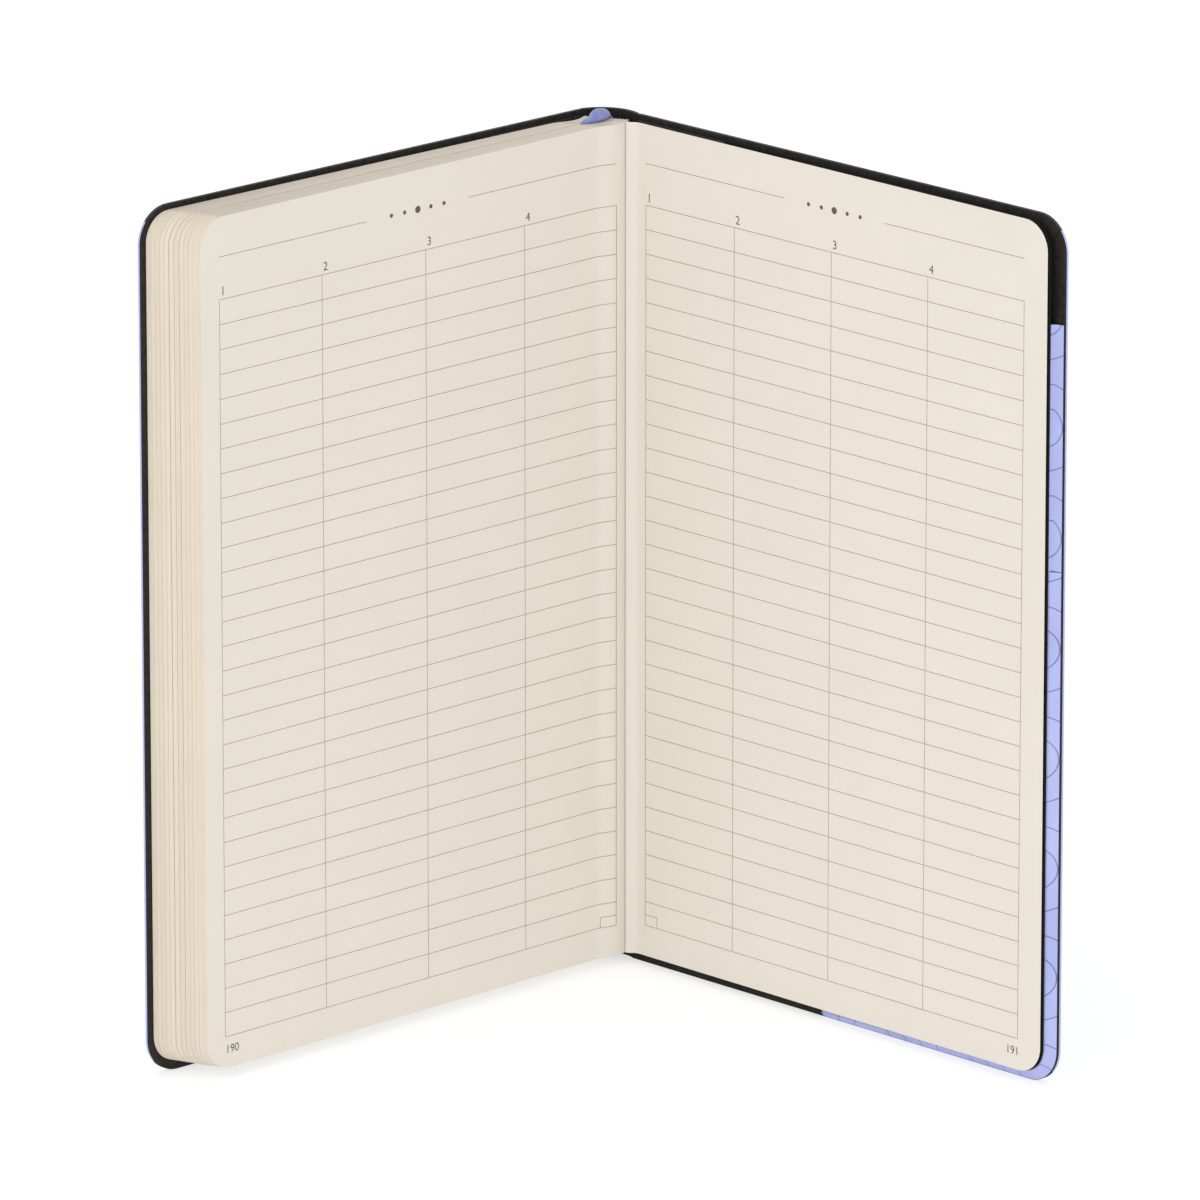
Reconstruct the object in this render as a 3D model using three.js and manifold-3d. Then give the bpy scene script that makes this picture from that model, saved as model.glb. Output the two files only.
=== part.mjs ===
// A thread-sewn lined notebook with a soft cover, standing open at its last spread.
// Millimetres, +Z up. The reader stands on the -Y side and looks along +Y into the open book.
// In the notebook's own frame x runs along the spine from the front cover to the back cover and
// y runs out of the book through its back. Every leaf is drawn in a frame of its own: x from
// its hinge line to its fore-edge, y across its thickness towards the back cover, z up.
import * as THREE from 'three';
import { mergeVertices } from 'three/addons/utils/BufferGeometryUtils.js';
import Module from 'manifold-3d';

const wasm = await Module();
wasm.setup();

// Cover
const COVER_HEIGHT = 181;
const COVER_CORNER = 7.5;
const BOARD_THICKNESS = 0.6; // black core with its lining
const SKIN_THICKNESS = 0.5; // outer skin of imitation leather

// Book block
const PAGE_WIDTH = 116.9; // from the fold to the fore-edge
const HEAD_MARGIN = 1; // by how much the cover stands proud of the pages at the head
const TAIL_MARGIN = 2.2; // at the tail
const FORE_MARGIN = 0.4; // and at the fore-edge of the closed book
const PAGE_CORNER = 6;
const SECTION_COUNT = 12;
const SECTION_THICKNESS = 0.65; // eight leaves, pressed
const SECTION_PITCH = 0.78; // at the spine, where the thread swells the folds
const FOLD_BULGE = 0.3; // by how far a fold stands out behind its hinge line
const LEAF_THICKNESS = 0.1;
const FLYLEAF_THICKNESS = 0.16;
const CLOTH_THICKNESS = 0.1;
const CLOTH_WIDTH = 25;
const FLYLEAF_TRIM = 1.7; // by how far the free endpapers end short of the pages' fore-edge
const LAYER_GAP = 0.06; // air between two layers that turn apart
const GLUE_GAP = 0.02; // glue line between two layers of one board

// Hollow back
const THREAD_DIAMETER = 0.26;
const STITCH_PAIRS = 4;
const STITCH_SPREAD = 9; // between the two rows of a pair
const STITCH_MARGIN = 22; // from the head or tail to the nearest pair
const LINING_THICKNESS = 0.2;
const HOLLOW_ROOM = 0.6; // from the lining to the hinge edges of the strip
const SPINE_BOW = 2.6; // by how far the middle of the spine bows out
const HINGE_CLEARANCE = 0.3; // from the round edge of the spine to the hollow edge of a cover

// Ribbon marker
const RIBBON_WIDTH = 6.6;
const RIBBON_THICKNESS = 0.2;
const RIBBON_AFTER = 6; // sections in front of it
const RIBBON_CLEARANCE = 0.07;
const RIBBON_GLUED = 14; // length held flat in the hollow back
const RIBBON_SHIFT = -1.2; // its middle in the hollow, along the spine
const RIBBON_ARCH = 1.5; // its highest point above the pages
const RIBBON_ENTRY = 3.7; // where its middle goes in between the leaves, from the fold
const RIBBON_TAIL_FORE = 21; // from its cut end to the fore-edge
const RIBBON_TAIL_FOOT = 12; // and to the foot of the leaves
const RIBBON_ARCH_STEPS = 10;
const RIBBON_LEAF_STEPS = 14;

// Pocket inside the back cover
const POCKET_SHEET = 0.25;
const POCKET_DEPTH = 1.5; // how far it stands open at the fore-edge
const POCKET_PINCH = 0.5; // and at its inner end
const POCKET_WIDTH = 65;
const POCKET_DROP = 21.8; // from the head of the cover to the head of the pocket
const POCKET_SEAM = 51; // from the head of the pocket to where its side stops being creased
const POCKET_BLUNT = 4.5; // width of its two blunt ends
const POCKET_CREASE = 0.7; // how far the creased side folds in
const POCKET_INSET = 0.4; // from the cover's edge to the pocket's

// Pose: the turn of the spine, and how far each layer is open from square to the spine, in degrees
const SPINE_TURN = 19;
const FRONT_COVER_OPEN = 28.4;
const FIRST_SECTION_OPEN = 28.9;
const LAST_SECTION_OPEN = 27.5;
const LAST_LEAF_OPEN = 64.1;
const BACK_FLYLEAF_OPEN = 63.6;
const BACK_COVER_OPEN = 64.4;

const ROUND_STEPS = 8;

// Sizes that follow from the ones above
const COVER_THICKNESS = BOARD_THICKNESS + SKIN_THICKNESS;
const HALF_COVER = COVER_THICKNESS / 2;
const PAGE_FOOT = TAIL_MARGIN;
const PAGE_TOP = COVER_HEIGHT - HEAD_MARGIN;
const RIBBON_ROOM = RIBBON_THICKNESS + 2 * RIBBON_CLEARANCE;
const BLOCK_THICKNESS = SECTION_COUNT * SECTION_PITCH + RIBBON_ROOM;
const LAST_FOLD = BLOCK_THICKNESS / 2 - SECTION_PITCH / 2;
const BLOCK_SIDE = LAST_FOLD + SECTION_THICKNESS / 2;
const LINING_STACK = CLOTH_THICKNESS + FLYLEAF_THICKNESS + 3 * LAYER_GAP;
const FRONT_HINGE = -(BLOCK_SIDE + LINING_STACK + HALF_COVER);
const LAST_LEAF_FOLD = BLOCK_SIDE + 1.5 * LAYER_GAP + LEAF_THICKNESS / 2;
const BACK_HINGE = LAST_LEAF_FOLD + LEAF_THICKNESS / 2 + LINING_STACK + HALF_COVER;
const THREAD_FACE = FOLD_BULGE + LAYER_GAP;
const LINING_FACE = THREAD_FACE + THREAD_DIAMETER + LAYER_GAP;
const HOLLOW_FACE = LINING_FACE + LINING_THICKNESS;
const STRIP_FACE = HOLLOW_FACE + HOLLOW_ROOM;
const HINGE_LINE = STRIP_FACE + HALF_COVER;
const COVER_LENGTH = PAGE_WIDTH + HINGE_LINE + FORE_MARGIN; // from the hinge line
const POCKET_HEIGHT = COVER_HEIGHT - POCKET_DROP;
const SIDE_SEAM = POCKET_HEIGHT - POCKET_SEAM;
const FLYLEAF_FACE = HALF_COVER + LAYER_GAP;
const CLOTH_FACE = FLYLEAF_FACE + FLYLEAF_THICKNESS + LAYER_GAP;

const LAVENDER = 0xacb4e2;
const INK_BLACK = 0x1e1a17;
const PAPER = 0xe9dfcd;
const CLOTH = 0x2a2622;
const THREAD = 0xd9cfbb;
const RIBBON = 0x7f88c4;

const radians = THREE.MathUtils.degToRad;
const notebook = new THREE.Group();
notebook.rotation.z = -radians(SPINE_TURN);

// Adds a named piece with a material of its own to a group.
function add(group, name, geometry, color, roughness) {
  const finish = new THREE.MeshStandardMaterial({ color, roughness, metalness: 0 });
  const mesh = new THREE.Mesh(geometry, finish);
  mesh.name = name;
  group.add(mesh);
}

// A group that turns about an upright line of the notebook. Its x axis points along a leaf that
// is open by so many degrees from square to the spine, positive towards the back cover.
function hinge(name, x, y, open) {
  const group = new THREE.Group();
  group.name = name;
  group.position.set(x, y, 0);
  group.rotation.z = radians(open - 90);
  notebook.add(group);
  return group;
}

function toSolid(geometry) {
  const bare = geometry.clone();
  bare.deleteAttribute('normal');
  bare.deleteAttribute('uv');
  const welded = mergeVertices(bare, 1e-5);
  const vertProperties = new Float32Array(welded.attributes.position.array);
  const triVerts = new Uint32Array(welded.index.array);
  return new wasm.Manifold(new wasm.Mesh({ numProp: 3, vertProperties, triVerts }));
}

function toGeometry(solid) {
  const mesh = solid.getMesh();
  const geometry = new THREE.BufferGeometry();
  geometry.setAttribute('position', new THREE.BufferAttribute(mesh.vertProperties, 3));
  geometry.setIndex(new THREE.BufferAttribute(mesh.triVerts, 1));
  geometry.computeVertexNormals();
  return geometry;
}

// Extrudes an outline drawn in x and z across the thickness, from y0 to y1.
function upright(outline, y0, y1) {
  const geometry = new THREE.ExtrudeGeometry(outline, {
    depth: y1 - y0,
    bevelEnabled: false,
    curveSegments: ROUND_STEPS,
  });
  geometry.rotateX(Math.PI / 2);
  geometry.translate(0, y1, 0);
  return geometry;
}

// Extrudes an outline drawn in x and y from the height z0 to z1.
function post(outline, z0, z1) {
  const geometry = new THREE.ExtrudeGeometry(outline, {
    depth: z1 - z0,
    bevelEnabled: false,
    curveSegments: ROUND_STEPS,
  });
  geometry.translate(0, 0, z0);
  return geometry;
}

// The outline of a leaf or a cover, with both corners at the fore-edge rounded.
function leafOutline(x0, x1, z0, z1, corner) {
  const outline = new THREE.Shape();
  outline.moveTo(x0, z0);
  outline.lineTo(x1 - corner, z0);
  outline.absarc(x1 - corner, z0 + corner, corner, -Math.PI / 2, 0, false);
  outline.absarc(x1 - corner, z1 - corner, corner, 0, Math.PI / 2, false);
  outline.lineTo(x0, z1);
  outline.closePath();
  return outline;
}

function rectangle(x0, x1, y0, y1) {
  const outline = new THREE.Shape();
  outline.moveTo(x0, y0);
  outline.lineTo(x1, y0);
  outline.lineTo(x1, y1);
  outline.lineTo(x0, y1);
  outline.closePath();
  return outline;
}

// Spine: a black strip inside and a skin outside, bowed between the two hinge lines and round
// at both edges. It is drawn between two distances from the bow's middle line.
const HALF_SPAN = (BACK_HINGE - FRONT_HINGE) / 2;
const BOW_RADIUS = (HALF_SPAN ** 2 + SPINE_BOW ** 2) / (2 * SPINE_BOW);
const BOW_X = (BACK_HINGE + FRONT_HINGE) / 2;
const BOW_Y = HINGE_LINE + SPINE_BOW - BOW_RADIUS;

function spineOutline(near, far) {
  const start = Math.acos(HALF_SPAN / BOW_RADIUS);
  const end = Math.PI - start;
  const nearTurn = Math.asin(near / HALF_COVER);
  const farTurn = Math.asin(far / HALF_COVER);
  const outline = new THREE.Shape();
  outline.absarc(
    BACK_HINGE, HINGE_LINE, HALF_COVER, start - Math.PI / 2 + nearTurn,
    start - Math.PI / 2 + farTurn, false,
  );
  outline.absarc(BOW_X, BOW_Y, BOW_RADIUS + far, start, end, false);
  outline.absarc(
    FRONT_HINGE, HINGE_LINE, HALF_COVER, end + Math.PI / 2 - farTurn,
    end + Math.PI / 2 - nearTurn, false,
  );
  outline.absarc(BOW_X, BOW_Y, BOW_RADIUS + near, end, start, true);
  outline.closePath();
  return outline;
}
const SPLIT = BOARD_THICKNESS - HALF_COVER;
const strip = post(spineOutline(-HALF_COVER, SPLIT - GLUE_GAP), 0, COVER_HEIGHT);
add(notebook, 'spine_strip', strip, INK_BLACK, 0.8);
const spineSkin = post(spineOutline(SPLIT, HALF_COVER), 0, COVER_HEIGHT);
add(notebook, 'spine_skin', spineSkin, LAVENDER, 0.55);

// Block's spine: the lining glued over the folds, and the rows of thread that link the sections
// under it.
const lining = rectangle(-BLOCK_SIDE, BLOCK_SIDE, LINING_FACE, HOLLOW_FACE);
add(notebook, 'spine_lining', post(lining, PAGE_FOOT, PAGE_TOP), CLOTH, 0.9);

function threadRun(from, to) {
  const run = to.clone().sub(from);
  const tube = new THREE.CylinderGeometry(
    THREAD_DIAMETER / 2, THREAD_DIAMETER / 2, run.length() + THREAD_DIAMETER, ROUND_STEPS,
  );
  tube.applyQuaternion(new THREE.Quaternion().setFromUnitVectors(
    new THREE.Vector3(0, 1, 0), run.normalize(),
  ));
  const centre = from.clone().add(to).multiplyScalar(0.5);
  tube.translate(centre.x, centre.y, centre.z);
  return toSolid(tube);
}

function sewingThread() {
  const depth = THREAD_FACE + THREAD_DIAMETER / 2;
  const reach = PAGE_TOP - PAGE_FOOT - 2 * STITCH_MARGIN - STITCH_SPREAD;
  const corners = [];
  for (let pair = 0; pair < STITCH_PAIRS; pair += 1) {
    const low = PAGE_FOOT + STITCH_MARGIN + (reach * pair) / (STITCH_PAIRS - 1);
    corners.push(new THREE.Vector3(-LAST_FOLD, depth, low));
    corners.push(new THREE.Vector3(LAST_FOLD, depth, low));
    corners.push(new THREE.Vector3(LAST_FOLD, depth, low + STITCH_SPREAD));
    corners.push(new THREE.Vector3(-LAST_FOLD, depth, low + STITCH_SPREAD));
  }
  let thread = threadRun(corners[0], corners[1]);
  for (let step = 1; step < corners.length - 1; step += 1) {
    thread = thread.add(threadRun(corners[step], corners[step + 1]));
  }
  return toGeometry(thread);
}
add(notebook, 'sewing_thread', sewingThread(), THREAD, 0.8);

// Sections: folded packs of leaves, rounded at the fold and trimmed along one slanting fore-edge.
// The ribbon's room lies between two of them.
function foldPlace(index) {
  const room = index >= RIBBON_AFTER ? RIBBON_ROOM : 0;
  return -LAST_FOLD + index * SECTION_PITCH + room;
}

function sectionOpen(index) {
  const share = index / (SECTION_COUNT - 1);
  return -FIRST_SECTION_OPEN + (FIRST_SECTION_OPEN - LAST_SECTION_OPEN) * share;
}

function section(open) {
  const half = SECTION_THICKNESS / 2;
  const slant = Math.tan(radians(open));
  const block = upright(
    leafOutline(-FOLD_BULGE * 2, PAGE_WIDTH, PAGE_FOOT, PAGE_TOP, PAGE_CORNER), -half, half,
  );
  block.applyMatrix4(new THREE.Matrix4().makeShear(0, 0, slant, 0, 0, 0));
  const fold = new THREE.Shape();
  fold.absellipse(0, 0, FOLD_BULGE, half, Math.PI / 2, Math.PI * 1.5, false);
  fold.lineTo(PAGE_WIDTH + half, -half);
  fold.lineTo(PAGE_WIDTH + half, half);
  fold.closePath();
  return toGeometry(toSolid(block).intersect(toSolid(post(fold, 0, COVER_HEIGHT))));
}

for (let index = 0; index < SECTION_COUNT; index += 1) {
  const number = String(index + 1).padStart(2, '0');
  const open = sectionOpen(index);
  const turn = hinge(`section_${number}_fold`, foldPlace(index), 0, open);
  add(turn, `section_${number}`, section(open), PAPER, 0.9);
}

// Last leaf: it turns by itself on the last section's fold.
const lastFold = hinge('last_leaf_fold', LAST_LEAF_FOLD, 0, LAST_LEAF_OPEN);
const leaf = leafOutline(LEAF_THICKNESS, PAGE_WIDTH, PAGE_FOOT, PAGE_TOP, PAGE_CORNER);
add(lastFold, 'last_leaf', upright(leaf, -LEAF_THICKNESS / 2, LEAF_THICKNESS / 2), PAPER, 0.9);

// A cover layer from y0 to y1, with its hinge edge hollowed out round the spine's edge.
function coverLayer(y0, y1) {
  const outline = leafOutline(0, COVER_LENGTH, 0, COVER_HEIGHT, COVER_CORNER);
  const radius = HALF_COVER + HINGE_CLEARANCE;
  const hollow = new THREE.CylinderGeometry(radius, radius, COVER_HEIGHT * 2, ROUND_STEPS * 4);
  hollow.rotateX(Math.PI / 2);
  hollow.translate(0, 0, COVER_HEIGHT / 2);
  return toGeometry(toSolid(upright(outline, y0, y1)).subtract(toSolid(hollow)));
}

// One side of the case and its endpapers. inward is 1 where the pages lie towards +y, and -1
// where they lie towards -y.
function side(label, x, inward, jointOpen, flyleafOpen, coverOpen) {
  const layer = (outline, near, thickness) => {
    const faces = [near * inward, (near + thickness) * inward];
    return upright(outline, Math.min(...faces), Math.max(...faces));
  };
  const joint = hinge(`${label}_joint`, x, HINGE_LINE, jointOpen);
  const clothStart = HINGE_LINE - LINING_FACE;
  const cloth = rectangle(clothStart, clothStart + CLOTH_WIDTH, PAGE_FOOT, PAGE_TOP);
  add(joint, `${label}_joint_cloth`, layer(cloth, CLOTH_FACE, CLOTH_THICKNESS), CLOTH, 0.9);

  const flyleafTurn = hinge(`${label}_flyleaf_fold`, x, HINGE_LINE, flyleafOpen);
  const flyleaf = leafOutline(
    FLYLEAF_FACE, PAGE_WIDTH + HINGE_LINE - FLYLEAF_TRIM, PAGE_FOOT, PAGE_TOP, PAGE_CORNER,
  );
  const sheet = layer(flyleaf, FLYLEAF_FACE, FLYLEAF_THICKNESS);
  add(flyleafTurn, `${label}_flyleaf`, sheet, INK_BLACK, 0.85);

  const coverTurn = hinge(`${label}_cover_hinge`, x, HINGE_LINE, coverOpen);
  const layers = [
    ['board', GLUE_GAP - SPLIT, HALF_COVER, INK_BLACK, 0.85],
    ['skin', -HALF_COVER, -SPLIT, LAVENDER, 0.55],
  ];
  for (const [piece, near, far, color, roughness] of layers) {
    const faces = [near * inward, far * inward];
    const body = coverLayer(Math.min(...faces), Math.max(...faces));
    add(coverTurn, `${label}_${piece}`, body, color, roughness);
  }
  return coverTurn;
}

side('front', FRONT_HINGE, 1, -FRONT_COVER_OPEN, -FRONT_COVER_OPEN, -FRONT_COVER_OPEN);
const backCover = side(
  'back', BACK_HINGE, -1, BACK_FLYLEAF_OPEN, BACK_FLYLEAF_OPEN, BACK_COVER_OPEN,
);

// Pocket: a three-cornered panel that leans off the back board on folded sides, open along its
// slanting mouth and pressed flat at its inner end.
const POCKET_EDGE = COVER_LENGTH - POCKET_INSET;
const POCKET_START = COVER_LENGTH - POCKET_WIDTH;
const POCKET_CORNER = COVER_CORNER - POCKET_INSET;
const BOARD_FACE = -HALF_COVER - GLUE_GAP;
const POCKET_LEAN = Math.atan((POCKET_DEPTH - POCKET_PINCH) / (POCKET_EDGE - POCKET_START));

const pocketTurn = new THREE.Group();
pocketTurn.name = 'pocket_fold';
pocketTurn.position.set(POCKET_START, -HALF_COVER - POCKET_PINCH, 0);
pocketTurn.rotation.z = -POCKET_LEAN;
backCover.add(pocketTurn);

function pocketOutline() {
  const edge = POCKET_EDGE - POCKET_START;
  const corner = POCKET_INSET + POCKET_CORNER;
  const outline = new THREE.Shape();
  outline.moveTo(0, POCKET_INSET);
  outline.lineTo(edge - POCKET_CORNER, POCKET_INSET);
  outline.absarc(edge - POCKET_CORNER, corner, POCKET_CORNER, -Math.PI / 2, 0, false);
  outline.lineTo(edge, POCKET_HEIGHT);
  outline.lineTo(edge - POCKET_BLUNT, POCKET_HEIGHT);
  outline.lineTo(0, POCKET_INSET + POCKET_BLUNT);
  outline.closePath();
  return outline;
}
add(pocketTurn, 'pocket_panel', upright(pocketOutline(), 0, POCKET_SHEET), LAVENDER, 0.6);

// How far from the board's middle the back of the panel lies.
function panelBack(x) {
  const lean = Math.tan(POCKET_LEAN) * (x - POCKET_START);
  return -HALF_COVER - POCKET_PINCH - lean + POCKET_SHEET + GLUE_GAP;
}

// A folded side in plan: out from the board, in at the crease, and out to the panel.
function creasedOutline() {
  const middle = (panelBack(POCKET_EDGE) + BOARD_FACE) / 2;
  const root = POCKET_EDGE - POCKET_SHEET * 2;
  const outline = new THREE.Shape();
  outline.moveTo(POCKET_EDGE, BOARD_FACE);
  outline.lineTo(POCKET_EDGE - POCKET_CREASE, middle);
  outline.lineTo(POCKET_EDGE, panelBack(POCKET_EDGE));
  outline.lineTo(root, panelBack(root));
  outline.lineTo(POCKET_EDGE - POCKET_CREASE - POCKET_SHEET, middle);
  outline.lineTo(root, BOARD_FACE);
  outline.closePath();
  return outline;
}
const creased = post(creasedOutline(), SIDE_SEAM, POCKET_HEIGHT);
add(backCover, 'pocket_creased_side', creased, LAVENDER, 0.6);

// The plain lower side runs round the corner and along the foot, and narrows to the inner end.
function cornerSide() {
  const top = SIDE_SEAM - LAYER_GAP;
  const middle = POCKET_EDGE - POCKET_CORNER;
  const height = POCKET_INSET + POCKET_CORNER;
  const outline = new THREE.Shape();
  outline.moveTo(POCKET_START, POCKET_INSET);
  outline.lineTo(middle, POCKET_INSET);
  outline.absarc(middle, height, POCKET_CORNER, -Math.PI / 2, 0, false);
  outline.lineTo(POCKET_EDGE, top);
  outline.lineTo(POCKET_EDGE - POCKET_SHEET, top);
  outline.absarc(middle, height, POCKET_CORNER - POCKET_SHEET, 0, -Math.PI / 2, true);
  outline.lineTo(POCKET_START, POCKET_INSET + POCKET_SHEET);
  outline.closePath();
  const inner = POCKET_START - POCKET_SHEET;
  const wedge = new THREE.Shape();
  wedge.moveTo(inner, BOARD_FACE);
  wedge.lineTo(inner, panelBack(inner));
  wedge.lineTo(COVER_LENGTH, panelBack(COVER_LENGTH));
  wedge.lineTo(COVER_LENGTH, BOARD_FACE);
  wedge.closePath();
  const wall = upright(outline, -COVER_THICKNESS - POCKET_DEPTH, 0);
  return toGeometry(toSolid(wall).intersect(toSolid(post(wedge, 0, COVER_HEIGHT))));
}
add(backCover, 'pocket_corner_side', cornerSide(), LAVENDER, 0.6);

// Ribbon: flat in the hollow, over the head in an arch, and down between two sections to its
// tail. It is drawn in the frame of the section in front of it, as steps of a flat band with the
// middle and the width of each. The width swings from along the spine to along the leaves.
function ribbonSteps(open) {
  const spineInLeaf = new THREE.Matrix4().makeRotationZ(radians(90 - open));
  const shift = RIBBON_SHIFT - foldPlace(RIBBON_AFTER - 1);
  const glued = new THREE.Vector3(shift, HOLLOW_FACE + HOLLOW_ROOM, 0);
  glued.applyMatrix4(spineInLeaf);
  const alongSpine = new THREE.Vector3(1, 0, 0).applyMatrix4(spineInLeaf);
  const alongLeaf = new THREE.Vector3(-1, 0, 0);
  const bed = SECTION_THICKNESS / 2 + RIBBON_CLEARANCE + RIBBON_THICKNESS / 2;
  const entry = new THREE.Vector3(RIBBON_ENTRY, bed, 0);
  const foot = PAGE_TOP + RIBBON_CLEARANCE;
  const steps = [];
  const addStep = (centre, width, tangent) => {
    const depth = new THREE.Vector3().crossVectors(tangent, width).normalize();
    steps.push({ centre, width, depth });
  };
  addStep(glued.clone().setZ(PAGE_TOP - RIBBON_GLUED), alongSpine, new THREE.Vector3(0, 0, 1));
  for (let step = 0; step <= RIBBON_ARCH_STEPS; step += 1) {
    const turn = (Math.PI * step) / RIBBON_ARCH_STEPS;
    const share = (1 - Math.cos(turn)) / 2;
    const centre = glued.clone().lerp(entry, share).setZ(foot + RIBBON_ARCH * Math.sin(turn));
    const width = alongSpine.clone().lerp(alongLeaf, share).normalize();
    const tangent = entry.clone().sub(glued).multiplyScalar(Math.sin(turn) / 2);
    tangent.z = RIBBON_ARCH * Math.cos(turn);
    addStep(centre, width, tangent);
  }
  const lie = new THREE.QuadraticBezierCurve3(
    entry.clone().setZ(foot),
    entry.clone().setZ(PAGE_TOP * 0.6),
    new THREE.Vector3(PAGE_WIDTH - RIBBON_TAIL_FORE, bed, PAGE_FOOT + RIBBON_TAIL_FOOT),
  );
  for (let step = 1; step <= RIBBON_LEAF_STEPS; step += 1) {
    const tangent = lie.getTangent(step / RIBBON_LEAF_STEPS);
    const width = new THREE.Vector3(tangent.z, 0, -tangent.x).normalize();
    addStep(lie.getPoint(step / RIBBON_LEAF_STEPS), width, tangent);
  }
  return steps;
}

function band(steps) {
  const corners = [[1, 1], [-1, 1], [-1, -1], [1, -1]];
  const position = [];
  const index = [];
  for (const { centre, width, depth } of steps) {
    for (const [across, through] of corners) {
      const corner = centre.clone();
      corner.addScaledVector(width, (across * RIBBON_WIDTH) / 2);
      corner.addScaledVector(depth, (through * RIBBON_THICKNESS) / 2);
      position.push(...corner.toArray());
    }
  }
  for (let step = 0; step < steps.length - 1; step += 1) {
    for (let corner = 0; corner < 4; corner += 1) {
      const a = step * 4 + corner;
      const b = step * 4 + ((corner + 1) % 4);
      index.push(a, b, b + 4, a, b + 4, a + 4);
    }
  }
  const last = (steps.length - 1) * 4;
  index.push(0, 2, 1, 0, 3, 2, last, last + 1, last + 2, last, last + 2, last + 3);
  const geometry = new THREE.BufferGeometry();
  geometry.setAttribute('position', new THREE.Float32BufferAttribute(position, 3));
  geometry.setIndex(index);
  geometry.computeVertexNormals();
  return geometry;
}

const ribbonOpen = sectionOpen(RIBBON_AFTER - 1);
const ribbonBed = hinge('ribbon_bed', foldPlace(RIBBON_AFTER - 1), 0, ribbonOpen);
add(ribbonBed, 'ribbon_marker', band(ribbonSteps(ribbonOpen)), RIBBON, 0.45);

const size = new THREE.Box3().setFromObject(notebook);
const middle = size.getCenter(new THREE.Vector3());
notebook.position.set(-middle.x, -middle.y, 0);
notebook.updateMatrixWorld(true);

export default notebook;
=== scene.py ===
# %% [markdown]
# # A thread-sewn notebook, standing open
# The imported model gives the fixed frame: every piece's name, its place and the body that it
# turns with. This lesson dresses it. It starts by loading that frame.

# %% Load the frame
import math
import random

import bpy
from mathutils import Matrix, Vector


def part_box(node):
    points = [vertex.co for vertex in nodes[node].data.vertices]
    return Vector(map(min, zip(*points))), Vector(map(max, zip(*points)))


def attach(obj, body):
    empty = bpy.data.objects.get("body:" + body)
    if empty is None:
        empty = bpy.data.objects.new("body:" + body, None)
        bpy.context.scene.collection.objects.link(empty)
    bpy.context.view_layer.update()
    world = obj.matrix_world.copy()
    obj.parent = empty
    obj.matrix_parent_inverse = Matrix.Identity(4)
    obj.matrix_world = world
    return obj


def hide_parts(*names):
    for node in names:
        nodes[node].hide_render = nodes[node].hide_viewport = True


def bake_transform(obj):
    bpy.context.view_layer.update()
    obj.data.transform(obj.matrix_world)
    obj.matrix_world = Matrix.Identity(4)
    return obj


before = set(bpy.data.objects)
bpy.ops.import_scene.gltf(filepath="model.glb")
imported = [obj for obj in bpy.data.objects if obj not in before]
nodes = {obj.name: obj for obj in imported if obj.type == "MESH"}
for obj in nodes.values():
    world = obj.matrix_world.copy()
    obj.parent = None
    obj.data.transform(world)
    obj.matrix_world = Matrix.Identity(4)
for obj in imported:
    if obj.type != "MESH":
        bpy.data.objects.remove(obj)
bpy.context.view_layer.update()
MM = 0.001

# %% [markdown]
# ## Sizes of the book
# A sewn book has a frame of its own: x runs along the spine from the front cover to the back
# cover, and y runs out through the back. Each leaf turns about an upright line and has a frame
# of its own too, with x along the leaf, y across it towards the back cover and z up. The sizes
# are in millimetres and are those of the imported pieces.

# %% Sizes of the book
SPINE_TURN = math.radians(19)
PAGE_WIDTH = 116.9
PAGE_CORNER = 6
SECTIONS = 12
SECTION_PITCH = 0.78
SECTION_THICKNESS = 0.65
FOLD_BULGE = 0.3
RIBBON_AFTER = 6
RIBBON_ROOM = 0.34
LAST_FOLD = (SECTIONS * SECTION_PITCH + RIBBON_ROOM - SECTION_PITCH) / 2
FIRST_SECTION_OPEN, SECTION_FAN = -28.9, 1.4
LAST_LEAF_FOLD = 4.925
LAST_LEAF_OPEN = 64.1
HINGE_LINE = 2.03
FRONT_HINGE, BACK_HINGE = -5.775, 5.965
BACK_COVER_OPEN = 64.4
HALF_COVER = 0.55
LINING_PLACE = 0.78
page_low, page_high = (corner.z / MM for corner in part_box("section_12"))
print("pages from", round(page_low, 2), "to", round(page_high, 2), "mm high")

# %% [markdown]
# ## Frames of the book and its leaves
# On the real book every leaf turns about its own fold, and the whole book stands turned to the
# reader. Empties and parents could hold these frames, but matrices place each point once and
# leave nothing over in the scene. The middle of the spine's lining tells where the book lies.

# %% Frames of the book and its leaves
lining_low, lining_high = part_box("spine_lining")
lining_centre = Vector(
    ((lining_low.x + lining_high.x) / 2, (lining_low.y + lining_high.y) / 2, 0)
) / MM
to_book = Matrix.Rotation(-SPINE_TURN, 4, "Z")
BOOK = Matrix.Translation(lining_centre - to_book @ Vector((0, LINING_PLACE, 0))) @ to_book


def hinge_frame(x, y, open_degrees):
    """The frame of a leaf or cover that is open by so many degrees from square to the spine."""
    turn = Matrix.Rotation(math.radians(open_degrees - 90), 4, "Z")
    return BOOK @ Matrix.Translation((x, y, 0)) @ turn


def fold_place(index):
    """Where the fold of a section lies along the spine."""
    room = RIBBON_ROOM if index >= RIBBON_AFTER else 0
    return -LAST_FOLD + index * SECTION_PITCH + room


def section_open(index):
    """How far a section is open from square to the spine: each a little more than the last."""
    return FIRST_SECTION_OPEN + SECTION_FAN * index / (SECTIONS - 1)


print("the spine's middle in mm:", [round(place, 1) for place in BOOK.translation[:2]])

# %% [markdown]
# ## The camera
# The notebook is seen from in front and a little above, from far away, so that its upright
# lines stay nearly parallel. A long lens aimed at the middle of the spread does this. The
# place of the target is counted from the middle of the spine.

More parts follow.
